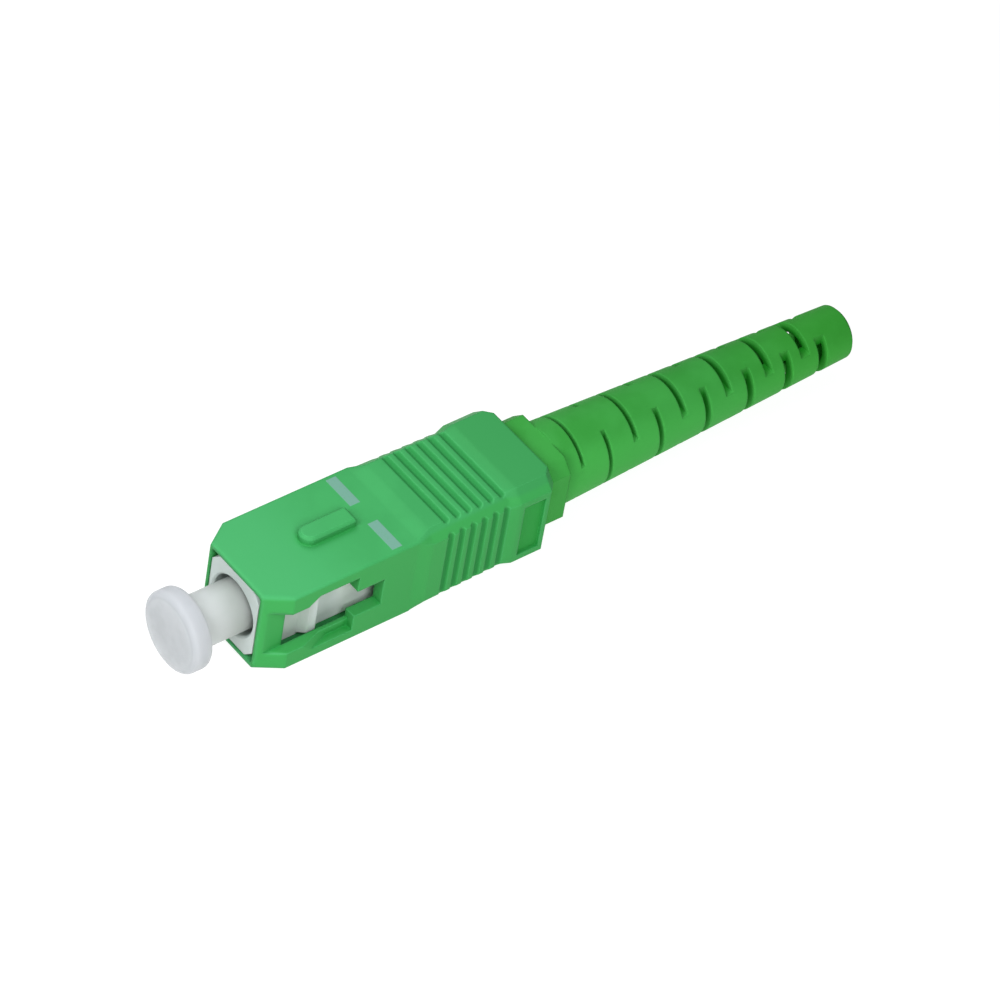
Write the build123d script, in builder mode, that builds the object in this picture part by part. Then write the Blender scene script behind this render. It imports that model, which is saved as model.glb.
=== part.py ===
import os

from build123d import *

os.makedirs("parts", exist_ok=True)

# The optical axis is X. The nose's front plane is x = 0, the tail points to +X and the key is up.

# Coupling sleeve, outside
nose_width = 9.0
nose_height = 7.4
nose_length = 13.3
nose_tip_width = 6.4
nose_edge = 0.22
lead_in = 2.0
key_front = 5.65
key_length = 4.6
key_width = 1.65
key_height = 0.75
key_edge = 0.2
key_roundness = 0.49
grip_rise = 1.2
grip_grow = 0.2
grip_waist = 0.1
grip_facet = 0.9
grip_flare = 0.8
groove_margin = 1.7
groove_rear_margin = 0.35
groove_pitch = 1.05
groove_radius = 0.32
groove_depth = 0.22
block_length = 3.45
block_grow = 0.3
block_facet = 0.95
block_chamfer = 0.6
sleeve_length = 26.05
panel_margin = 0.45
panel_length = 2.0
panel_height = 5.0
panel_depth = 0.25

# Coupling sleeve, latch window in each side
window_start = 2.15
window_half = 2.05
window_step = 0.7
window_ledge = 0.35
ramp_outer = 3.45
ramp_skew = 1.85
ramp_run = 0.8
tooth_start = 7.95
tooth_length = 2.45
tooth_half = 1.3

# Coupling sleeve, inside
mouth_depth = 1.2
mouth_edge = 0.22
lip_wall = 0.3
bar_gap = 0.15
room_width = 7.0
room_roof = 0.6
rib_lead = 0.1
rib_length = 1.0
rib_height = 4.8
collar_roof = 0.4
collar_side_wall = 1.1
collar_gap = 0.15
collar_rise_gap = 0.35
collar_reach = 1.85
collar_room_gap = 0.25
sleeve_travel = 1.85

# Plug frame
plug_face = 0.05
plug_lip = 0.95
plug_lip_gap = 0.12
plug_gap = 0.15
plug_corner = 0.8
plug_front_corner = 0.45
plug_rear_corner = 0.15
plug_short = 7.05
waist_step = 0.25
bore_wall = 0.425
bore_depth = 4.35
bore_rim = 0.15
web_length = 1.0
web_gap = 0.3
shoulder_gap = 0.15
shoulder_rise = 0.5
shoulder_ramp = 0.6
shoulder_length = 0.75
shoulder_fall = 0.15
shoulder_height = 4.6
ear_length = 1.1
ear_side_gap = 0.2
ear_height = 4.0
ear_gap = 0.1
catch_margin = 1.4
catch_length = 1.6
catch_width = 2.0

# Ferrule and its flange
ferrule_diameter = 2.5
ferrule_reach = 2.6
ferrule_length = 10.5
push_travel = 1.0
tip_diameter = 1.5
tip_cone = 0.6
tip_angle = 8
fibre_hole = 0.13
funnel_diameter = 0.9
funnel_depth = 0.7
seat_gap = 0.02
press_gap = 0.01
flange_diameter = 4.0
flange_flats = 3.4
flange_gap = 0.1
flange_back = 0.4
barrel_gap = 0.2
barrel_end_gap = 0.5
barrel_bore = 1.0
barrel_edge = 0.15

# Spring
wire = 0.4
wire_sides = 6
spring_gap = 0.15
spring_pitch = 1.44

# Back post and crimp ring
post_reach = 4.5
post_gap = 0.1
post_bore = 2.0
barb_root = 2.8
barb_drop = 0.15
barb_gap = 0.1
post_step = 0.1
post_flange_corner = 0.8
post_flange_length = 1.38
post_barrel = 4.0
post_barrel_length = 7.6
ring_gap = 0.05
ring_wall = 0.4
ring_seat_gap = 0.2
neck_margin = 0.2
neck_gap = 0.05
neck_run = 0.4
neck_length = 0.9

# Boot
collar_length = 4.2
collar_corner = 1.0
tail_diameter = 6.78
tail_length = 29.5
tail_tip_diameter = 4.4
tail_edge = 0.25
boot_gap = 0.02
pocket_gap = 0.1
pocket_run = 0.7
cable_bore = 3.2
slot_stations = 12
slot_margin = 0.6
slot_end_margin = 3.3
slot_crowd = 0.24
slot_narrow = 0.34
slot_wide = 0.95
slot_web = 3.0
slot_web_tip = 2.5

# Dust cap
cap_head_diameter = 6.5
cap_head_length = 1.7
cap_head_edge = 0.25
cap_front_wall = 2.45
cap_tip_gap = 0.5
cap_side_gap = 0.375
cap_end_gap = 0.1
cap_gap = 0.02
cap_edge = 0.12

# Sizes across the axis that pieces share
block_width = nose_width + 2 * block_grow
block_height = nose_height + 2 * block_grow
room_height = nose_height - 2 * room_roof
mouth_height = nose_height - 2 * lip_wall
collar_room_width = block_width - 2 * collar_side_wall
collar_room_height = block_height - 2 * collar_roof
collar_width = collar_room_width - 2 * collar_gap
collar_height = collar_room_height - 2 * collar_rise_gap
shoulder_width = room_width - 2 * shoulder_gap
plug_width = shoulder_width - 2 * shoulder_rise
plug_height = room_height - 2 * plug_gap
plug_waist = plug_width - 2 * waist_step
bar_inside = plug_width + 2 * bar_gap
plug_bore = plug_width - 2 * bore_wall
web_bore = ferrule_diameter + 2 * web_gap
chamber_bore = flange_diameter + 2 * flange_gap
chamber_flats = flange_flats + 2 * flange_gap
spring_diameter = min(chamber_bore, chamber_flats) - 2 * spring_gap - wire
barrel_diameter = spring_diameter - wire - 2 * barrel_gap
post_nose = chamber_bore - 2 * post_gap
post_flats = chamber_flats - 2 * post_gap
ring_bore = post_barrel + 2 * ring_gap
ring_diameter = ring_bore + 2 * ring_wall
neck_bore = cable_bore + 2 * neck_gap
neck_diameter = neck_bore + 2 * ring_wall
pocket_bore = ring_diameter + 2 * boot_gap
cap_stem_diameter = plug_bore - 2 * cap_side_gap

# Places along the axis, from the nose to the tail
grip_start = nose_length + grip_rise
block_start = sleeve_length - block_length
grip_end = block_start - grip_flare
window_wide_half = window_half + window_step
ramp_inner = ramp_outer + ramp_skew
rib_start = nose_length - rib_lead
shoulder_start = window_start + sleeve_travel
bore_end = plug_face + bore_depth
web_end = bore_end + web_length
plug_end = sleeve_length - plug_short
catch_end = plug_end - catch_margin
catch_start = catch_end - catch_length
ferrule_tip = -ferrule_reach
ferrule_end = ferrule_tip + ferrule_length
flange_end = ferrule_end + flange_back
post_start = plug_end - post_reach
barrel_end = post_start - push_travel - barrel_end_gap
post_flange_end = plug_end + seat_gap + post_flange_length
post_end = post_flange_end + post_barrel_length
neck_start = post_end + neck_margin
neck_end = neck_start + neck_run + neck_length
collar_start = sleeve_length - collar_reach
collar_end = collar_start + collar_length
collar_room_start = collar_start - sleeve_travel - collar_room_gap
pocket_end = neck_end + pocket_gap
tail_end = collar_end + tail_length
slot_first = pocket_end + slot_margin
slot_last = tail_end - slot_end_margin
cap_floor = ferrule_tip - cap_tip_gap
cap_head_front = cap_floor - cap_front_wall
cap_neck = cap_head_front + cap_head_length
cap_stem_end = bore_end - push_travel - cap_end_gap


# Coupling sleeve: slides on the plug and works the latch
groove_first = grip_start + groove_margin
groove_steps = round((grip_end - groove_rear_margin - groove_first) / groove_pitch)
with BuildPart() as sleeve:
    # Nose with lead-ins at its front corners
    with BuildSketch(Plane.XY):
        with BuildLine():
            Polyline(
                (0, -nose_tip_width / 2),
                (lead_in, -nose_width / 2),
                (nose_length, -nose_width / 2),
                (nose_length, nose_width / 2),
                (lead_in, nose_width / 2),
                (0, nose_tip_width / 2),
                close=True,
            )
        make_face()
    extrude(amount=nose_height / 2, both=True)
    flat_edges = sleeve.edges().filter_by(Plane.XY)
    rim_edges = flat_edges.filter_by_position(Axis.X, nose_edge, nose_length - nose_edge)
    fillet(rim_edges, nose_edge)

    # Waisted grip and flared rear block, with facets along the corners
    with BuildSketch(Plane.YZ.offset(nose_length)) as nose_end:
        Rectangle(nose_width, nose_height)
        fillet(nose_end.vertices(), nose_edge)
    with BuildSketch(Plane.YZ.offset(grip_start)) as grip_front:
        Rectangle(nose_width + 2 * grip_grow, nose_height + 2 * grip_grow)
        chamfer(grip_front.vertices(), grip_facet)
    with BuildSketch(Plane.YZ.offset(grip_end)) as grip_rear:
        Rectangle(nose_width + 2 * grip_waist, nose_height + 2 * grip_waist)
        chamfer(grip_rear.vertices(), grip_facet)
    with BuildSketch(Plane.YZ.offset(block_start)) as block_front:
        Rectangle(block_width, block_height)
        chamfer(block_front.vertices(), block_facet)
    with BuildSketch(Plane.YZ.offset(sleeve_length - block_chamfer)) as block_rear:
        Rectangle(block_width, block_height)
        chamfer(block_rear.vertices(), block_facet)
    with BuildSketch(Plane.YZ.offset(sleeve_length)) as block_end:
        Rectangle(block_width - 2 * block_chamfer, block_height)
        chamfer(block_end.vertices(), block_facet)
    loft(ruled=True)

    # Key on the top face, rounded in front
    with BuildSketch(Plane.XY.offset(nose_height / 2)) as key_plan:
        with Locations((key_front + key_length / 2, 0)):
            Rectangle(key_length, key_width)
        fillet(key_plan.vertices().group_by(Axis.X)[0], key_roundness * key_width)
        fillet(key_plan.vertices().group_by(Axis.X)[-1], key_edge)
    extrude(amount=key_height)
    chamfer(sleeve.faces().sort_by(Axis.Z)[-1].edges(), key_edge)

    # Grip grooves on all four faces
    for number in range(groove_steps + 1):
        groove_x = groove_first + number * groove_pitch
        part_way = (groove_x - grip_start) / (grip_end - grip_start)
        grow = grip_grow + part_way * (grip_waist - grip_grow)
        groove_y = nose_width / 2 + grow + groove_radius - groove_depth
        groove_z = nose_height / 2 + grow + groove_radius - groove_depth
        with BuildSketch(Plane.XZ):
            with Locations((groove_x, groove_z), (groove_x, -groove_z)):
                Circle(groove_radius)
        extrude(amount=nose_width, both=True, mode=Mode.SUBTRACT)
        with BuildSketch(Plane.XY):
            with Locations((groove_x, groove_y), (groove_x, -groove_y)):
                Circle(groove_radius)
        extrude(amount=nose_height, both=True, mode=Mode.SUBTRACT)

    # Sunken panel in each side of the rear block
    for side in (1, -1):
        with BuildSketch(Plane.XZ.offset(-side * (block_width / 2 - panel_depth))):
            with Locations((block_start + panel_margin + panel_length / 2, 0)):
                Rectangle(panel_length, panel_height)
        extrude(amount=-side * nose_width, mode=Mode.SUBTRACT)

    # Mouth, the passage between the front bars, the room for the plug and the room for the collar
    with BuildSketch(Plane.YZ) as mouth:
        Rectangle(bar_inside, mouth_height)
        chamfer(mouth.vertices(), mouth_edge)
    extrude(amount=mouth_depth, mode=Mode.SUBTRACT)
    with BuildSketch(Plane.YZ.offset(mouth_depth)):
        Rectangle(bar_inside, room_height)
    extrude(amount=window_start - mouth_depth, mode=Mode.SUBTRACT)
    with BuildSketch(Plane.YZ.offset(window_start)):
        Rectangle(room_width, room_height)
    extrude(amount=sleeve_length - window_start, mode=Mode.SUBTRACT)
    with BuildSketch(Plane.YZ.offset(collar_room_start)) as collar_room:
        Rectangle(collar_room_width, collar_room_height)
        chamfer(collar_room.vertices(), collar_corner)
    extrude(amount=sleeve_length - collar_room_start, mode=Mode.SUBTRACT)

    # Ribs that stop the sleeve on the plug's ears
    for side in (1, -1):
        with BuildSketch(Plane.XY.offset(-rib_height / 2)):
            with Locations((rib_start + rib_length / 2, side * (bar_inside + nose_width) / 4)):
                Rectangle(rib_length, (nose_width - bar_inside) / 2)
        extrude(amount=rib_height)

    # Latch window: a channel over the front bar, the open window, and the teeth at its rear
    window_end = tooth_start + tooth_length
    for side in (1, -1):
        with BuildSketch(Plane.XZ.offset(-side * room_width / 2)):
            with BuildLine():
                Polyline(
                    (-lead_in, -window_half),
                    (tooth_start, -window_half),
                    (tooth_start, -tooth_half),
                    (window_end, -tooth_half),
                    (window_end, tooth_half),
                    (tooth_start, tooth_half),
                    (tooth_start, window_half),
                    (-lead_in, window_half),
                    close=True,
                )
            make_face()
        extrude(amount=-side * nose_width, mode=Mode.SUBTRACT)

    # Cam ramps that lift the latch hooks, skewed into the wall as far as an inner ledge
    for side in (1, -1):
        for depth, ramp_x in ((room_width / 2 + window_ledge, ramp_inner), (nose_width / 2, ramp_outer)):
            with BuildSketch(Plane.XZ.offset(-side * depth)):
                with BuildLine():
                    Polyline(
                        (ramp_x, -window_half),
                        (ramp_x + ramp_run, -window_wide_half),
                        (tooth_start, -window_wide_half),
                        (tooth_start, window_wide_half),
                        (ramp_x + ramp_run, window_wide_half),
                        (ramp_x, window_half),
                        close=True,
                    )
                make_face()
        loft(ruled=True, mode=Mode.SUBTRACT)
sleeve.part.label = "coupling_sleeve"
export_step(sleeve.part, "parts/coupling_sleeve.step")


# Plug frame: carries the ferrule and the latch shoulders
shoulder_top = shoulder_start + shoulder_ramp
shoulder_end = shoulder_top + shoulder_length
shoulder_foot = shoulder_end + shoulder_fall
with BuildPart() as plug:
    # Nose lip, front block and slim rear
    with BuildSketch(Plane.YZ.offset(plug_face)) as plug_nose:
        Rectangle(plug_width, mouth_height - 2 * plug_lip_gap)
        chamfer(plug_nose.vertices(), plug_corner)
    extrude(amount=plug_lip)
    with BuildSketch(Plane.YZ.offset(plug_face + plug_lip)) as plug_front:
        Rectangle(plug_width, plug_height)
        chamfer(plug_front.vertices(), plug_front_corner)
    extrude(amount=shoulder_start - plug_face - plug_lip)
    with BuildSketch(Plane.YZ.offset(shoulder_start)) as plug_rear:
        Rectangle(plug_waist, plug_height)
        chamfer(plug_rear.vertices(), plug_rear_corner)
    extrude(amount=plug_end - shoulder_start)

    # Latch shoulders that the hooks close behind
    with BuildSketch(Plane.XY.offset(-shoulder_height / 2)):
        with BuildLine():
            Polyline(
                (shoulder_start, -plug_width / 2),
                (shoulder_top, -shoulder_width / 2),
                (shoulder_end, -shoulder_width / 2),
                (shoulder_foot, -plug_waist / 2),
                (shoulder_foot, plug_waist / 2),
                (shoulder_end, shoulder_width / 2),
                (shoulder_top, shoulder_width / 2),
                (shoulder_start, plug_width / 2),
                close=True,
            )
        make_face()
    extrude(amount=shoulder_height)

    # Ears that hold the sleeve on
    with BuildSketch(Plane.XY.offset(-ear_height / 2)):
        with Locations((rib_start - ear_gap - ear_length / 2, 0)):
            Rectangle(ear_length, room_width - 2 * ear_side_gap)
    extrude(amount=ear_height)

    # Front bore, ferrule passage and the keyed chamber behind it
    with BuildSketch(Plane.YZ.offset(plug_face)):
        Circle(plug_bore / 2)
    extrude(amount=bore_depth, mode=Mode.SUBTRACT)
    bore_edge = plug.edges().filter_by(GeomType.CIRCLE).group_by(Axis.X)[0]
    chamfer(bore_edge, bore_rim)
    with BuildSketch(Plane.YZ.offset(bore_end)):
        Circle(web_bore / 2)
    extrude(amount=web_length, mode=Mode.SUBTRACT)
    with BuildSketch(Plane.YZ.offset(web_end)):
        Circle(chamber_bore / 2)
        Rectangle(chamber_flats, chamber_bore, mode=Mode.INTERSECT)
    extrude(amount=plug_end - web_end, mode=Mode.SUBTRACT)

    # Catch windows for the post's barbs
    with BuildSketch(Plane.XY.offset(-plug_height / 2)):
        with Locations((catch_start + catch_length / 2, 0)):
            Rectangle(catch_length, catch_width)
    extrude(amount=plug_height, mode=Mode.SUBTRACT)
plug.part.label = "plug_frame"
export_step(plug.part, "parts/plug_frame.step")


# Ferrule: ceramic rod with a coned, angle-polished tip
with BuildPart() as ferrule:
    with BuildSketch(Plane.XZ):
        with BuildLine():
            Polyline(
                (ferrule_tip, 0),
                (ferrule_tip, tip_diameter / 2),
                (ferrule_tip + tip_cone, ferrule_diameter / 2),
                (ferrule_end, ferrule_diameter / 2),
                (ferrule_end, funnel_diameter / 2),
                (ferrule_end - funnel_depth, fibre_hole / 2),
                (ferrule_end - funnel_depth, 0),
                close=True,
            )
        make_face()
    revolve(axis=Axis.X)
    with BuildSketch(Plane.YZ.offset(ferrule_tip)):
        Circle(fibre_hole / 2)
    extrude(amount=ferrule_length, mode=Mode.SUBTRACT)
    polish = Plane(origin=(ferrule_tip, 0, 0), z_dir=(1, 0, 0)).rotated((0, tip_angle, 0))
    with BuildSketch(polish):
        Rectangle(2 * ferrule_diameter, 2 * ferrule_diameter)
    extrude(amount=-ferrule_diameter, mode=Mode.SUBTRACT)
ferrule.part.label = "ferrule"
export_step(ferrule.part, "parts/ferrule.step")


# Ferrule flange: two flats key it in the plug frame
with BuildPart() as flange:
    with BuildSketch(Plane.YZ.offset(web_end + seat_gap)):
        Circle(flange_diameter / 2)
        Rectangle(flange_flats, flange_diameter, mode=Mode.INTERSECT)
    extrude(amount=flange_end - web_end - seat_gap)
    with BuildSketch(Plane.YZ.offset(flange_end)):
        Circle(barrel_diameter / 2)
    extrude(amount=barrel_end - flange_end)
    chamfer(flange.edges().filter_by(GeomType.CIRCLE).group_by(Axis.X)[-1], barrel_edge)
    with BuildSketch(Plane.YZ.offset(web_end)):
        Circle(ferrule_diameter / 2 + press_gap)
    extrude(amount=ferrule_end + press_gap - web_end, mode=Mode.SUBTRACT)
    with BuildSketch(Plane.YZ.offset(web_end)):
        Circle(barrel_bore / 2)
    extrude(amount=barrel_end - web_end, mode=Mode.SUBTRACT)
flange.part.label = "ferrule_flange"
export_step(flange.part, "parts/ferrule_flange.step")


# Spring between the flange and the back post
coil_start = flange_end + seat_gap + wire / 2
coil_length = post_start - flange_end - 2 * seat_gap - wire
with BuildPart() as spring:
    with BuildLine() as coil:
        Helix(
            pitch=spring_pitch,
            height=coil_length,
            radius=spring_diameter / 2,
            center=(coil_start, 0, 0),
            direction=(1, 0, 0),
        )
    with BuildSketch(Plane(origin=coil.line @ 0, z_dir=coil.line % 0)):
        RegularPolygon(wire / 2, wire_sides)
    sweep(is_frenet=True)
spring.part.label = "spring"
export_step(spring.part, "parts/spring.step")


# Back post: snaps into the plug frame, carries the spring seat and the crimp barrel
barb_front = catch_start + barb_gap
barb_end = catch_end - barb_gap
barb_height = plug_height - 2 * barb_drop
with BuildPart() as post:
    with BuildSketch(Plane.YZ.offset(post_start)):
        Circle(post_nose / 2)
        Rectangle(post_flats, post_nose, mode=Mode.INTERSECT)
    extrude(amount=plug_end + seat_gap - post_start)

    # Barbs in the catch windows, ramped in front
    with BuildSketch(Plane.XZ):
        with BuildLine():
            Polyline(
                (barb_front, -barb_root / 2),
                (barb_end, -barb_height / 2),
                (barb_end, barb_height / 2),
                (barb_front, barb_root / 2),
                close=True,
            )
        make_face()
    extrude(amount=catch_width / 2 - barb_gap, both=True)

    # Flange against the plug frame's rear and the crimp barrel
    with BuildSketch(Plane.YZ.offset(plug_end + seat_gap)) as post_plate:
        Rectangle(plug_width - 2 * post_step, plug_height - 2 * post_step)
        chamfer(post_plate.vertices(), post_flange_corner)
    extrude(amount=post_flange_length)
    with BuildSketch(Plane.YZ.offset(post_flange_end)):
        Circle(post_barrel / 2)
    extrude(amount=post_barrel_length)
    with BuildSketch(Plane.YZ.offset(post_start)):
        Circle(post_bore / 2)
    extrude(amount=post_end - post_start, mode=Mode.SUBTRACT)
post.part.label = "back_post"
export_step(post.part, "parts/back_post.step")


# Crimp ring: over the post's barrel, necked down to the cable
ring_start = post_flange_end + ring_seat_gap
with BuildPart() as ring:
    with BuildSketch(Plane.XZ):
        with BuildLine():
            Polyline(
                (ring_start, ring_bore / 2),
                (ring_start, ring_diameter / 2),
                (neck_start, ring_diameter / 2),
                (neck_start + neck_run, neck_diameter / 2),
                (neck_end, neck_diameter / 2),
                (neck_end, neck_bore / 2),
                (neck_start + neck_run, neck_bore / 2),
                (neck_start, ring_bore / 2),
                close=True,
            )
        make_face()
    revolve(axis=Axis.X)
ring.part.label = "crimp_ring"
export_step(ring.part, "parts/crimp_ring.step")


# Boot: square collar with cut corners and a tapering tail with alternating slots
with BuildPart() as boot:
    with BuildSketch(Plane.YZ.offset(collar_start)) as collar:
        Rectangle(collar_width, collar_height)
        chamfer(collar.vertices(), collar_corner)
    extrude(amount=collar_length)
    with BuildSketch(Plane.XZ):
        with BuildLine():
            Polyline(
                (collar_end, 0),
                (collar_end, tail_diameter / 2),
                (tail_end, tail_tip_diameter / 2),
                (tail_end, 0),
                close=True,
            )
        make_face()
    revolve(axis=Axis.X)
    chamfer(boot.edges().filter_by(GeomType.CIRCLE).group_by(Axis.X)[-1], tail_edge)

    # Pocket for the crimp ring and the bore for the cable
    with BuildSketch(Plane.XZ):
        with BuildLine():
            Polyline(
                (collar_start, 0),
                (collar_start, pocket_bore / 2),
                (pocket_end, pocket_bore / 2),
                (pocket_end + pocket_run, cable_bore / 2),
                (tail_end, cable_bore / 2),
                (tail_end, 0),
                close=True,
            )
        make_face()
    revolve(axis=Axis.X, mode=Mode.SUBTRACT)

    # Slots, wider and closer together towards the tail's end
    for number in range(slot_stations):
        part_way = number / (slot_stations - 1)
        crowded = part_way + slot_crowd * part_way * (1 - part_way)
        slot_x = slot_first + crowded * (slot_last - slot_first)
        slot_width = slot_narrow + part_way * (slot_wide - slot_narrow)
        web = slot_web + part_way * (slot_web_tip - slot_web)
        slot_plane = Plane.XY if number % 2 == 0 else Plane.XZ
        for side in (1, -1):
            with BuildSketch(slot_plane.offset(side * web / 2)):
                with Locations((slot_x, 0)):
                    Rectangle(slot_width, tail_diameter)
            extrude(amount=side * tail_diameter, mode=Mode.SUBTRACT)
boot.part.label = "boot"
export_step(boot.part, "parts/boot.step")


# Dust cap: round head, hollow stem over the ferrule
with BuildPart() as cap:
    with BuildSketch(Plane.YZ.offset(cap_head_front)):
        Circle(cap_head_diameter / 2)
    extrude(amount=cap_head_length)
    chamfer(cap.edges().filter_by(GeomType.CIRCLE), cap_head_edge)
    with BuildSketch(Plane.YZ.offset(cap_neck)):
        Circle(cap_stem_diameter / 2)
    extrude(amount=cap_stem_end - cap_neck)
    chamfer(cap.edges().filter_by(GeomType.CIRCLE).group_by(Axis.X)[-1], cap_edge)
    with BuildSketch(Plane.YZ.offset(cap_floor)):
        Circle(ferrule_diameter / 2 + cap_gap)
    extrude(amount=cap_stem_end - cap_floor, mode=Mode.SUBTRACT)
cap.part.label = "dust_cap"
export_step(cap.part, "parts/dust_cap.step")
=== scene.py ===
import math
import bmesh
import bpy
from mathutils import Matrix, Vector


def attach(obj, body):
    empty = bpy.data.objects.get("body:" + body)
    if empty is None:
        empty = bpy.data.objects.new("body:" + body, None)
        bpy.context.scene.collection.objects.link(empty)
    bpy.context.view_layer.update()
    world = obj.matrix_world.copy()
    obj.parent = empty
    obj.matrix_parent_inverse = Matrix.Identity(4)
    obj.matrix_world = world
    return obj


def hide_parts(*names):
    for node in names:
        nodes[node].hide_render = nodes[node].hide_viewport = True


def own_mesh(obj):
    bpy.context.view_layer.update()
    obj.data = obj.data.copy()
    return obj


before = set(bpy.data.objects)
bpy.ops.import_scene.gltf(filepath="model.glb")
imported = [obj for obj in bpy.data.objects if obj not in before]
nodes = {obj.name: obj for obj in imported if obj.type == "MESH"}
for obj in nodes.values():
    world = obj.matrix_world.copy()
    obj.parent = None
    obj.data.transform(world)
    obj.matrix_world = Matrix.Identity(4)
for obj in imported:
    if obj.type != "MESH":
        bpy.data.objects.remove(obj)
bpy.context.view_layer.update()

mm = 0.001
print("frame loaded:", len(nodes), "nodes")

# camera, from the fit to the photo's edges
shot = {"azimuth": -45.2, "elevation": 44.4, "roll": 10.6, "target": (23.73, -1.37, 0.0),
        "distance": 445.5, "lens": 216.0, "sensor": 36.0, "clip": 0.01}


def makeCamera(v):
    az, el, roll = (math.radians(v[key]) for key in ("azimuth", "elevation", "roll"))
    back = Vector((math.sin(az) * math.cos(el), -math.cos(az) * math.cos(el), math.sin(el)))
    level = Vector((math.cos(az), math.sin(az), 0.0))
    right = level * math.cos(roll) + back.cross(level) * math.sin(roll)
    turn = Matrix((right, back.cross(right), back)).transposed().to_4x4()
    lens = bpy.data.cameras.new("photoCamera")
    lens.lens = v["lens"]
    lens.sensor_width = v["sensor"]
    lens.clip_start = v["clip"]
    camera = bpy.data.objects.new("photoCamera", lens)
    camera.matrix_world = Matrix.Translation((Vector(v["target"]) + back * v["distance"]) * mm) @ turn
    bpy.context.scene.collection.objects.link(camera)
    bpy.context.scene.camera = camera


makeCamera(shot)
print("camera set")


class Sock:                                   # a node's output that takes part in sums
    def __init__(self, paint, out):
        self.paint, self.out = paint, out

    def __add__(self, other): return self.paint.maths("ADD", self, other)
    def __radd__(self, other): return self.paint.maths("ADD", other, self)
    def __sub__(self, other): return self.paint.maths("SUBTRACT", self, other)
    def __rsub__(self, other): return self.paint.maths("SUBTRACT", other, self)
    def __mul__(self, other): return self.paint.maths("MULTIPLY", self, other)
    def __rmul__(self, other): return self.paint.maths("MULTIPLY", other, self)
    def __abs__(self): return self.paint.maths("ABSOLUTE", self)


nodeQuality = {"bevelSamples": 8, "airSamples": 12, "highlightSpan": (0.995, 0.80)}


class Paint:                                  # one material and the nodes that feed its shader, lengths in mm
    def __init__(self, name, fixed):
        self.material = bpy.data.materials.new(name)
        self.material.use_nodes = True
        self.tree = self.material.node_tree
        self.shader = self.tree.nodes["Principled BSDF"]
        for key, value in fixed.items():
            self.shader.inputs[key].default_value = value
        where = self.node("ShaderNodeTexCoord", out="Object")
        self.spot = self.node("ShaderNodeVectorMath", {"operation": "SCALE"}, {0: where, "Scale": 1 / mm})
        self.x, self.y, self.z = (self.node("ShaderNodeSeparateXYZ", {}, {0: self.spot}, out=axis)
                                  for axis in "XYZ")

    def node(self, kind, settings=None, sockets=None, out=0):
        made = self.tree.nodes.new(kind)
        for key, value in (settings or {}).items():
            setattr(made, key, value)
        for key, value in (sockets or {}).items():
            self.plug(made.inputs[key], value)
        return Sock(self, made.outputs[out])

    def plug(self, socket, value):
        if isinstance(value, Sock):
            self.tree.links.new(value.out, socket)
        else:
            socket.default_value = value

    def feed(self, key, value):
        self.plug(self.shader.inputs[key], value)

    def maths(self, operation, a, b=0.0):
        return self.node("ShaderNodeMath", {"operation": operation}, {0: a, 1: b})

    def noise(self, perMm, detail):
        return self.node("ShaderNodeTexNoise", {}, {"Vector": self.spot, "Scale": perMm, "Detail": detail})

    def ease(self, value, low, high, start=0.0, end=1.0):
        return self.node("ShaderNodeMapRange", {"interpolation_type": "SMOOTHSTEP"},
                         {"Value": value, "From Min": low, "From Max": high, "To Min": start, "To Max": end})

    def mix(self, share, a, b, way="MIX"):
        return self.node("ShaderNodeMix", {"data_type": "RGBA", "blend_type": way}, {0: share, 6: a, 7: b}, out=2)

    def band(self, value, low, high, blur):   # 1 between low and high
        return self.ease(value, low - blur, low + blur) * self.ease(value, high - blur, high + blur, 1.0, 0.0)

    def outward(self):                        # distance from the axis
        return self.maths("SQRT", self.y * self.y + self.z * self.z)

    def rounded(self, radius):                # normal of edges that shade as if they were rounded
        return self.node("ShaderNodeBevel", {"samples": nodeQuality["bevelSamples"]}, {"Radius": radius * mm})

    def paintedCreaseShade(self, reach, free, tight):    # painted shade that grows into grooves and corners of the piece itself
        air = self.node("ShaderNodeAmbientOcclusion", {"samples": nodeQuality["airSamples"], "only_local": True},
                        {"Distance": reach * mm}, out="AO")
        return self.ease(air, free, tight)

    def edgeHighlightMask(self, soft):                     # painted highlight that grows towards the edges
        flat = self.node("ShaderNodeNewGeometry", out="Normal")
        along = self.node("ShaderNodeVectorMath", {"operation": "DOT_PRODUCT"}, {0: soft, 1: flat}, out="Value")
        return self.ease(along, *nodeQuality["highlightSpan"])

    def bump(self, height, depth, under=None):
        sockets = {"Height": height, "Distance": depth * mm, "Strength": 1.0}
        if under is not None:
            sockets["Normal"] = under
        return self.node("ShaderNodeBump", {}, sockets)


def rgb(r, g, b):
    return (r, g, b, 1.0)


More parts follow.
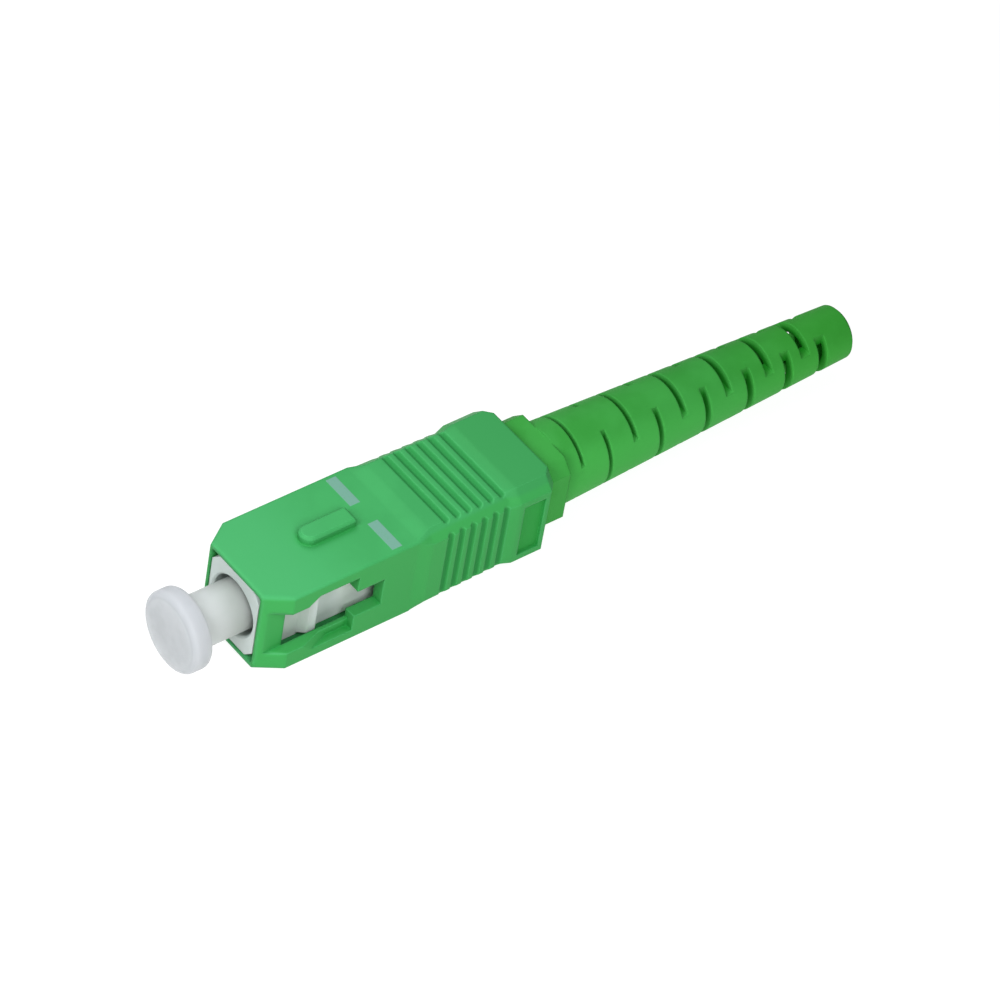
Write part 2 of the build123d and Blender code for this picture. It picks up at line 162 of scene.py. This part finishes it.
# green moulded sleeve, with the two pale index bars printed on its top; spans are where a tone starts and is full
sleeveLook = {
    "specular": 0.05, "rough": 0.46, "roughSwing": 0.16, "cloudScale": 0.35, "cloudDetail": 3.0,
    "green": rgb(0.048, 0.325, 0.095), "deep": rgb(0.044, 0.305, 0.088), "cloudSpan": (0.35, 0.65),
    # painted light: the front is paler
    "litFront": rgb(0.054, 0.337, 0.109), "litFrontSpan": (10.0, 3.0),
    # painted shade: the rear is darker
    "rear": rgb(0.042, 0.288, 0.079), "rearSpan": (20.5, 23.0),
    # painted shade: the flanks are darker and yellower than the top
    "paintedFlank": rgb(0.042, 0.310, 0.073), "flankSpan": (2.7, 3.0), "flankTop": (3.66, 3.4),
    # painted highlight along the edges
    "highlight": rgb(0.080, 0.425, 0.145), "highlightShare": 0.6, "edgeRound": 0.22,
    "frontRound": 0.55, "frontSpan": (1.4, 2.4), "swellRound": 0.5, "swellBlur": 0.3,
    "riseFrom": 13.3, "riseTo": 14.5, "flareFrom": 21.8, "flareTo": 22.6,
    # painted shade in creases and corners
    "creaseShade": rgb(0.010, 0.250, 0.034), "creaseReach": 0.7, "creaseSpan": (0.92, 0.45), "creaseShare": 0.7,
    # painted shade in the grip's grooves
    "grooveShade": rgb(0.018, 0.205, 0.045), "grooveSpan": (15.8, 21.85), "grooveBlur": 0.02, "grooveShare": 0.75,
    "grooveDepth": (0.02, 0.19), "grooveFloor": (0.45, 0.3),
    "halfWidth": 4.5, "halfHeight": 3.7, "grow": 0.2, "slim": 0.1, "facet": 0.9, "facetSlant": 0.707,
    "panel": rgb(0.023, 0.278, 0.042), "panelShare": 0.7, "panelSpan": (23.05, 25.05), "panelHeight": (-2.5, 2.5),
    "panelLevel": (4.60, 4.64), "panelBlur": 0.05, "panelRough": 0.18, "panelGrain": 1.6,
    "bar": rgb(0.145, 0.318, 0.240), "barSpan": (11.05, 11.96), "barAcross": (1.05, 4.1), "barLevel": (3.58, 3.62),
    "barBlur": 0.03, "barRough": 0.1, "barHeight": 1.5, "inkScale": 5.0, "inkDetail": 3.0,
    "inkSpan": (0.2, 0.45), "inkCover": (0.72, 1.0),
    "grainScale": 9.0, "grainShare": 0.35, "waveScale": 2.2, "waveShare": 0.5, "grainDetail": 2.0, "depth": 0.006}


def gripGrooves(p, v, across, above):         # 1 well under the grip's faces, down to the grooves' floors, where shade is painted
    grow = v["grow"] - (p.x - v["riseTo"]) * (v["slim"] / (v["flareFrom"] - v["riseTo"]))
    down, inward = v["halfHeight"] + grow - above, v["halfWidth"] + grow - across
    underFacet = (down + inward - v["facet"]) * v["facetSlant"]
    sunk = p.maths("MINIMUM", p.maths("MINIMUM", down, inward), underFacet)
    grooveShade = p.ease(sunk, *v["grooveDepth"]) * p.ease(sunk, *v["grooveFloor"])
    return grooveShade * p.band(p.x, *v["grooveSpan"], v["grooveBlur"])


def sleevePaint(v):
    p = Paint("sleevePlastic", {"Specular IOR Level": v["specular"]})
    clouds = p.noise(v["cloudScale"], v["cloudDetail"])
    across, above = abs(p.y), abs(p.z)
    rise = p.band(p.x, v["riseFrom"], v["riseTo"], v["swellBlur"])
    flare = p.band(p.x, v["flareFrom"], v["flareTo"], v["swellBlur"])
    front = p.ease(p.x, *v["frontSpan"], v["frontRound"], v["edgeRound"])
    soft = p.rounded(front + (rise + flare) * v["swellRound"])
    body = p.mix(p.ease(clouds, *v["cloudSpan"]), v["deep"], v["green"])
    # painted light: the front is paler
    body = p.mix(p.ease(p.x, *v["litFrontSpan"]), body, v["litFront"])
    # painted shade: the rear is darker
    body = p.mix(p.ease(p.x, *v["rearSpan"]), body, v["rear"])
    # painted shade: the flanks are darker and yellower than the top
    body = p.mix(p.ease(across, *v["flankSpan"]) * p.ease(above, *v["flankTop"]), body, v["paintedFlank"])
    # painted highlight along the edges
    body = p.mix(p.edgeHighlightMask(soft) * v["highlightShare"], body, v["highlight"])
    # painted shade in the creases and corners
    body = p.mix(p.paintedCreaseShade(v["creaseReach"], *v["creaseSpan"]) * v["creaseShare"], body, v["creaseShade"])
    # painted shade in the grip's grooves
    body = p.mix(gripGrooves(p, v, across, above) * v["grooveShare"], body, v["grooveShade"])
    panel = p.band(p.x, *v["panelSpan"], v["panelBlur"]) * p.band(p.z, *v["panelHeight"], v["panelBlur"])
    panel = panel * p.ease(across, *v["panelLevel"], 1.0, 0.0)
    body = p.mix(panel * v["panelShare"], body, v["panel"])
    bars = p.band(p.x, *v["barSpan"], v["barBlur"]) * p.band(across, *v["barAcross"], v["barBlur"])
    bars = bars * p.ease(p.z, *v["barLevel"])
    ink = bars * p.ease(p.noise(v["inkScale"], v["inkDetail"]), *v["inkSpan"], *v["inkCover"])
    p.feed("Base Color", p.mix(ink, body, v["bar"]))
    p.feed("Roughness", v["rough"] + (clouds - 0.5) * v["roughSwing"] + panel * v["panelRough"] + ink * v["barRough"])
    grain = p.noise(v["grainScale"], v["grainDetail"]) * (v["grainShare"] + panel * v["panelGrain"])
    waves = p.noise(v["waveScale"], v["grainDetail"]) * v["waveShare"]
    p.feed("Normal", p.bump(grain + waves + bars * v["barHeight"], v["depth"], soft))
    return p.material


# soft boot, yellower and duller than the sleeve; the tip's tone multiplies
bootLook = {
    "specular": 0.05, "rough": 0.58, "roughSwing": 0.18, "cloudScale": 0.3, "cloudDetail": 3.0,
    "green": rgb(0.046, 0.318, 0.054), "deep": rgb(0.038, 0.289, 0.043), "cloudSpan": (0.35, 0.65),
    # painted light: the tail's flanks are lighter
    "side": rgb(0.054, 0.372, 0.063), "sideSpan": (1.5, 3.0), "sideStart": (28.4, 29.9),
    "tip": rgb(0.94, 1.03, 0.76), "tipSpan": (42.0, 56.0),
    # painted highlight along the edges
    "highlight": rgb(0.058, 0.362, 0.072), "highlightShare": 0.25, "edgeRound": 0.18,
    "tailFrom": 28.4, "tailTo": 57.9, "tailRadius": 3.39, "tipRadius": 2.2,
    # painted shade inside the slots
    "slotShade": rgb(0.006, 0.225, 0.008), "slotDepth": (0.12, 0.7), "slotStart": (28.8, 29.2), "slotEnd": (57.2, 57.5),
    "slotShare": 0.85, "slotRough": 0.1,
    "grainScale": 7.0, "grainDetail": 3.0, "waveScale": 1.6, "waveDetail": 2.0, "waveShare": 0.6, "depth": 0.008}


def bootPaint(v):
    p = Paint("bootRubber", {"Specular IOR Level": v["specular"]})
    clouds = p.noise(v["cloudScale"], v["cloudDetail"])
    soft = p.rounded(v["edgeRound"])
    body = p.mix(p.ease(clouds, *v["cloudSpan"]), v["deep"], v["green"])
    # painted light: the tail's flanks are lighter
    body = p.mix(p.ease(abs(p.y), *v["sideSpan"]) * p.ease(p.x, *v["sideStart"]), body, v["side"])
    body = p.mix(p.ease(p.x, *v["tipSpan"]), body, v["tip"], "MULTIPLY")
    # painted highlight along the edges
    body = p.mix(p.edgeHighlightMask(soft) * v["highlightShare"], body, v["highlight"])
    slim = (v["tailRadius"] - v["tipRadius"]) / (v["tailTo"] - v["tailFrom"])
    depth = v["tailRadius"] - (p.x - v["tailFrom"]) * slim - p.outward()
    # painted shade inside the slots
    inside = p.ease(depth, *v["slotDepth"]) * p.ease(p.x, *v["slotStart"])
    inside = inside * p.ease(p.x, *v["slotEnd"], 1.0, 0.0)
    p.feed("Base Color", p.mix(inside * v["slotShare"], body, v["slotShade"]))
    p.feed("Roughness", v["rough"] + (clouds - 0.5) * v["roughSwing"] + inside * v["slotRough"])
    grain = p.noise(v["grainScale"], v["grainDetail"]) + p.noise(v["waveScale"], v["waveDetail"]) * v["waveShare"]
    p.feed("Normal", p.bump(grain, v["depth"], soft))
    return p.material


# off-white plug frame, with painted shade and painted light along the side that shows in the window
frameLook = {
    "scatter": 0.25, "scatterScale": 0.5, "scatterRadius": (1.0, 1.0, 0.9),
    "rough": 0.42, "roughSwing": 0.15, "cloudScale": 0.5, "cloudDetail": 3.0, "edgeRound": 0.12,
    "white": rgb(0.485, 0.548, 0.522), "shade": rgb(0.452, 0.515, 0.483), "cloudSpan": (0.35, 0.65),
    # painted shade on the side near the front
    "flankSpan": (2.4, 2.7), "foreShade": rgb(0.390, 0.450, 0.408), "foreStart": (2.3, 2.8), "foreEnd": (5.2, 4.4),
    # painted light on the side at the waist
    "waistLit": rgb(0.800, 0.860, 0.815), "waistSpan": (6.6, 9.0),
    "grainScale": 8.0, "waveScale": 1.8, "grainDetail": 2.0, "waveShare": 0.6, "depth": 0.004}


def framePaint(v):
    p = Paint("frameNylon", {"Subsurface Weight": v["scatter"], "Subsurface Scale": v["scatterScale"] * mm,
                             "Subsurface Radius": v["scatterRadius"]})
    clouds = p.noise(v["cloudScale"], v["cloudDetail"])
    soft = p.rounded(v["edgeRound"])
    # the side where the frame's painted shade and painted light go
    paintedFlank = p.ease(abs(p.y), *v["flankSpan"])
    body = p.mix(p.ease(clouds, *v["cloudSpan"]), v["shade"], v["white"])
    # painted shade on the side near the front
    body = p.mix(paintedFlank * p.ease(p.x, *v["foreStart"]) * p.ease(p.x, *v["foreEnd"]), body, v["foreShade"])
    # painted light on the side at the waist
    p.feed("Base Color", p.mix(paintedFlank * p.ease(p.x, *v["waistSpan"]), body, v["waistLit"]))
    p.feed("Roughness", v["rough"] + (clouds - 0.5) * v["roughSwing"])
    grain = p.noise(v["grainScale"], v["grainDetail"]) + p.noise(v["waveScale"], v["grainDetail"]) * v["waveShare"]
    p.feed("Normal", p.bump(grain, v["depth"], soft))
    return p.material


# milky dust cap
capLook = {
    "specular": 0.12, "scatter": 1.0, "scatterScale": 3.2, "scatterRadius": (1.0, 1.0, 1.0),
    "rough": 0.58, "roughSwing": 0.2, "cloudScale": 0.5, "cloudDetail": 4.0, "flowScale": 1.7, "flowDetail": 3.0,
    "cloudShare": 0.6, "flowShare": 0.4, "milkSpan": (0.38, 0.62),
    "milk": rgb(0.440, 0.458, 0.466), "thin": rgb(0.410, 0.427, 0.434),
    # painted shade on the rim
    "rimShade": rgb(0.400, 0.415, 0.426), "rimSpan": (2.5, 3.15),
    # painted shade on the rounded edge of the face
    "ring": rgb(0.362, 0.377, 0.388), "ringSpan": (2.75, 3.2), "ringBlur": 0.15, "ringFace": (-5.05, -5.35),
    # painted green reflection on the stem, and painted shade towards the bore
    "stem": rgb(0.490, 0.520, 0.503), "stemSpan": (-3.9, -3.4),
    "stemDeep": rgb(0.345, 0.371, 0.348), "deepSpan": (-2.9, -0.2),
    "flowHeight": 0.3, "grainScale": 7.0, "grainDetail": 2.0, "grainHeight": 0.1, "depth": 0.02}


def capPaint(v):
    p = Paint("capPolyethylene", {"Specular IOR Level": v["specular"], "Subsurface Weight": v["scatter"],
                                  "Subsurface Scale": v["scatterScale"] * mm,
                                  "Subsurface Radius": v["scatterRadius"]})
    clouds = p.noise(v["cloudScale"], v["cloudDetail"])
    flow = p.noise(v["flowScale"], v["flowDetail"])
    milky = p.ease(clouds * v["cloudShare"] + flow * v["flowShare"], *v["milkSpan"])
    body = p.mix(milky, v["thin"], v["milk"])
    outward = p.outward()
    # painted shade on the rim
    body = p.mix(p.ease(outward, *v["rimSpan"]), body, v["rimShade"])
    ring = p.band(outward, *v["ringSpan"], v["ringBlur"]) * p.ease(p.x, *v["ringFace"])   # painted shade on the rounded edge of the face
    body = p.mix(ring, body, v["ring"])
    # painted green reflection on the stem, and painted shade towards the bore
    stem = p.mix(p.ease(p.x, *v["deepSpan"]), v["stem"], v["stemDeep"])
    p.feed("Base Color", p.mix(p.ease(p.x, *v["stemSpan"]), body, stem))
    p.feed("Roughness", v["rough"] + (clouds - 0.5) * v["roughSwing"])
    grain = p.noise(v["grainScale"], v["grainDetail"]) * v["grainHeight"]
    p.feed("Normal", p.bump(clouds + flow * v["flowHeight"] + grain, v["depth"]))
    return p.material


# ground white ceramic
ceramicLook = {
    "scatter": 0.15, "scatterScale": 0.3, "scatterRadius": (1.0, 0.95, 0.85),
    "white": rgb(0.84, 0.83, 0.79), "warm": rgb(0.79, 0.775, 0.73), "cloudScale": 0.8, "cloudDetail": 2.0,
    "rough": 0.2, "roughSwing": 0.12, "rings": 14.0, "ringHeight": 0.4,
    "grainScale": 12.0, "grainDetail": 2.0, "depth": 0.0015, "edgeRound": 0.06}


def ceramicPaint(v):
    p = Paint("ferruleCeramic", {"Subsurface Weight": v["scatter"], "Subsurface Scale": v["scatterScale"] * mm,
                                 "Subsurface Radius": v["scatterRadius"]})
    clouds = p.noise(v["cloudScale"], v["cloudDetail"])
    p.feed("Base Color", p.mix(clouds, v["warm"], v["white"]))
    p.feed("Roughness", v["rough"] + (clouds - 0.5) * v["roughSwing"])
    lathe = p.maths("SINE", p.x * v["rings"]) * v["ringHeight"]
    grain = p.noise(v["grainScale"], v["grainDetail"])
    p.feed("Normal", p.bump(lathe + grain, v["depth"], p.rounded(v["edgeRound"])))
    return p.material


# turned, drawn and plated metal
metalLooks = {
    "flangeSteel": {"light": rgb(0.66, 0.655, 0.63), "dark": rgb(0.56, 0.555, 0.535), "rough": 0.30, "rings": 45.0},
    "postNickel": {"light": rgb(0.70, 0.675, 0.61), "dark": rgb(0.60, 0.575, 0.51), "rough": 0.26, "rings": 38.0},
    "ringAluminium": {"light": rgb(0.74, 0.74, 0.74), "dark": rgb(0.64, 0.64, 0.645), "rough": 0.38, "rings": 30.0},
    "springWire": {"light": rgb(0.60, 0.605, 0.615), "dark": rgb(0.48, 0.485, 0.50), "rough": 0.28, "rings": 3.0}}
metalGrain = {"cloudScale": 1.1, "cloudDetail": 3.0, "cloudSpan": (0.3, 0.7), "ringWobble": 0.05,
              "roughSwing": 0.2, "ringRough": 0.03, "grainScale": 10.0, "grainDetail": 2.0, "grainHeight": 0.8,
              "depth": 0.002, "edgeRound": 0.06}


def metalPaint(name):
    v = metalGrain | metalLooks[name]
    p = Paint(name, {"Metallic": 1.0})
    clouds = p.noise(v["cloudScale"], v["cloudDetail"])
    lathe = p.maths("SINE", (p.x + clouds * v["ringWobble"]) * v["rings"])
    p.feed("Base Color", p.mix(p.ease(clouds, *v["cloudSpan"]), v["dark"], v["light"]))
    p.feed("Roughness", v["rough"] + (clouds - 0.5) * v["roughSwing"] + lathe * v["ringRough"])
    grain = p.noise(v["grainScale"], v["grainDetail"]) * v["grainHeight"]
    p.feed("Normal", p.bump(lathe + grain, v["depth"], p.rounded(v["edgeRound"])))
    return p.material


def dress(obj, material):
    obj.data.materials.clear()
    obj.data.materials.append(material)


dress(nodes["coupling_sleeve"], sleevePaint(sleeveLook))
dress(nodes["plug_frame"], framePaint(frameLook))
dress(nodes["boot"], bootPaint(bootLook))
dress(nodes["ferrule"], ceramicPaint(ceramicLook))
dress(nodes["ferrule_flange"], metalPaint("flangeSteel"))
dress(nodes["back_post"], metalPaint("postNickel"))
dress(nodes["crimp_ring"], metalPaint("ringAluminium"))
print("solids dressed")

weldGap = 0.0005                              # mm, points nearer than this become one


def makePiece(name, bm, material, body, stands):
    bmesh.ops.remove_doubles(bm, verts=bm.verts, dist=weldGap)
    bmesh.ops.recalc_face_normals(bm, faces=bm.faces)
    bmesh.ops.scale(bm, vec=(mm, mm, mm), verts=bm.verts)
    mesh = bpy.data.meshes.new(name)
    bm.to_mesh(mesh)
    bm.free()
    mesh.shade_smooth()
    piece = bpy.data.objects.new(name, mesh)
    bpy.context.scene.collection.objects.link(piece)
    dress(piece, material)
    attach(piece, body)
    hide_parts(stands)
    return piece


# dust cap, half profile spun about the axis: head, stem and blind bore
capSize = {"front": -5.55, "headBack": -3.85, "headRadius": 3.25, "stemRadius": 2.05, "stemEnd": 3.3,
           "boreRadius": 1.27, "boreEnd": -3.1, "headRound": 0.46, "headSteps": 6, "neckRound": 0.12, "neckSteps": 4,
           "rimRound": 0.09, "rimSteps": 4, "spinSteps": 96}


def makeCap(v):
    bm = bmesh.new()
    trace = [(v["front"], 0.0), (v["front"], v["headRadius"]), (v["headBack"], v["headRadius"]),
             (v["headBack"], v["stemRadius"]), (v["stemEnd"], v["stemRadius"]), (v["stemEnd"], v["boreRadius"]),
             (v["boreEnd"], v["boreRadius"]), (v["boreEnd"], 0.0)]
    corners = [bm.verts.new((x, 0.0, r)) for x, r in trace]
    for a, b in zip(corners, corners[1:]):
        bm.edges.new((a, b))
    for group, size, count in ((corners[1:3], v["headRound"], v["headSteps"]),
                               (corners[3:4], v["neckRound"], v["neckSteps"]),
                               (corners[4:7], v["rimRound"], v["rimSteps"])):
        bmesh.ops.bevel(bm, geom=group, offset=size, offset_type="OFFSET", segments=count, profile=0.5,
                        affect="VERTICES", material=-1)
    bmesh.ops.spin(bm, geom=bm.verts[:] + bm.edges[:], cent=(0, 0, 0), axis=(1, 0, 0), angle=2 * math.pi,
                   steps=v["spinSteps"], use_merge=True)
    makePiece("dustCapShell", bm, capPaint(capLook), "cap", "dust_cap")


makeCap(capSize)
print("dust cap made")

# coil spring, a wire circle spun with a lead
springSize = {"start": 8.52, "end": 14.28, "coilRadius": 1.45, "wireRadius": 0.2, "turns": 4, "stepsPerTurn": 40,
              "wireSides": 14, "shortest": 0.838, "seat": 14.48}


def makeSpring(v):
    bm = bmesh.new()
    upright = Matrix.Rotation(math.pi / 2, 4, "X")
    bmesh.ops.create_circle(bm, segments=v["wireSides"], radius=v["wireRadius"], cap_ends=True,
                            matrix=Matrix.Translation((v["start"], 0, v["coilRadius"])) @ upright)
    count = v["turns"] * v["stepsPerTurn"]
    lead = (v["end"] - v["start"]) / count
    bmesh.ops.spin(bm, geom=bm.verts[:] + bm.edges[:] + bm.faces[:], cent=(0, 0, 0), axis=(1, 0, 0),
                   dvec=(lead, 0, 0), angle=2 * math.pi * v["turns"], steps=count)
    piece = makePiece("springCoil", bm, metalPaint("springWire"), "plug", "spring")
    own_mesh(piece)


makeSpring(springSize)
print("spring made")

# floor, light and air
stageLook = {"level": -4.0, "gap": 0.01, "half": 6000.0, "floor": rgb(0.20, 0.20, 0.20), "rough": 0.9,
             "specular": 0.1, "white": rgb(1, 1, 1), "glow": 0.90, "air": 0.16,
             "lights": [{"name": "sideSoft", "spot": (-20, -82, 84), "aim": (2, -1, 1), "size": 62, "watts": 0.101,
                         "tint": (1.0, 1.0, 1.03)},
                        {"name": "frontSoft", "spot": (-85, -15, 90), "aim": (2, -1, 1), "size": 66, "watts": 0.125,
                         "tint": (0.98, 1.0, 1.03)},
                        {"name": "sheenSoft", "spot": (22, 60, 84), "aim": (2, 0, 3), "size": 70, "watts": 0.050,
                         "tint": (1.0, 1.0, 1.06)}]}


def makeFloor(v):
    bm = bmesh.new()
    bmesh.ops.create_grid(bm, x_segments=2, y_segments=2, size=v["half"] * mm,
                          matrix=Matrix.Translation((0, 0, (v["level"] - v["gap"]) * mm)))
    mesh = bpy.data.meshes.new("floor")
    bm.to_mesh(mesh)
    bm.free()
    floor = bpy.data.objects.new("floor", mesh)
    bpy.context.scene.collection.objects.link(floor)
    p = Paint("floorPaper", {"Base Color": v["floor"], "Roughness": v["rough"], "Specular IOR Level": v["specular"],
                             "Emission Color": v["white"], "Emission Strength": v["glow"]})
    dress(floor, p.material)


def makeLight(one):
    lamp = bpy.data.lights.new(one["name"], "AREA")
    lamp.size = one["size"] * mm
    lamp.energy = one["watts"]
    lamp.color = one["tint"]
    holder = bpy.data.objects.new(one["name"], lamp)
    spot = Vector(one["spot"]) * mm
    aim = Vector(one["aim"]) * mm - spot
    holder.visible_camera = False
    holder.matrix_world = Matrix.Translation(spot) @ aim.to_track_quat("-Z", "Y").to_matrix().to_4x4()
    bpy.context.scene.collection.objects.link(holder)


def makeStage(v):
    makeFloor(v)
    for one in v["lights"]:
        makeLight(one)
    world = bpy.data.worlds.new("studioAir")
    world.use_nodes = True
    backdrop = world.node_tree.nodes["Background"]
    backdrop.inputs["Color"].default_value = v["white"]
    backdrop.inputs["Strength"].default_value = v["air"]
    bpy.context.scene.world = world
    bpy.context.scene.view_settings.view_transform = "Standard"


makeStage(stageLook)
print("stage lit")
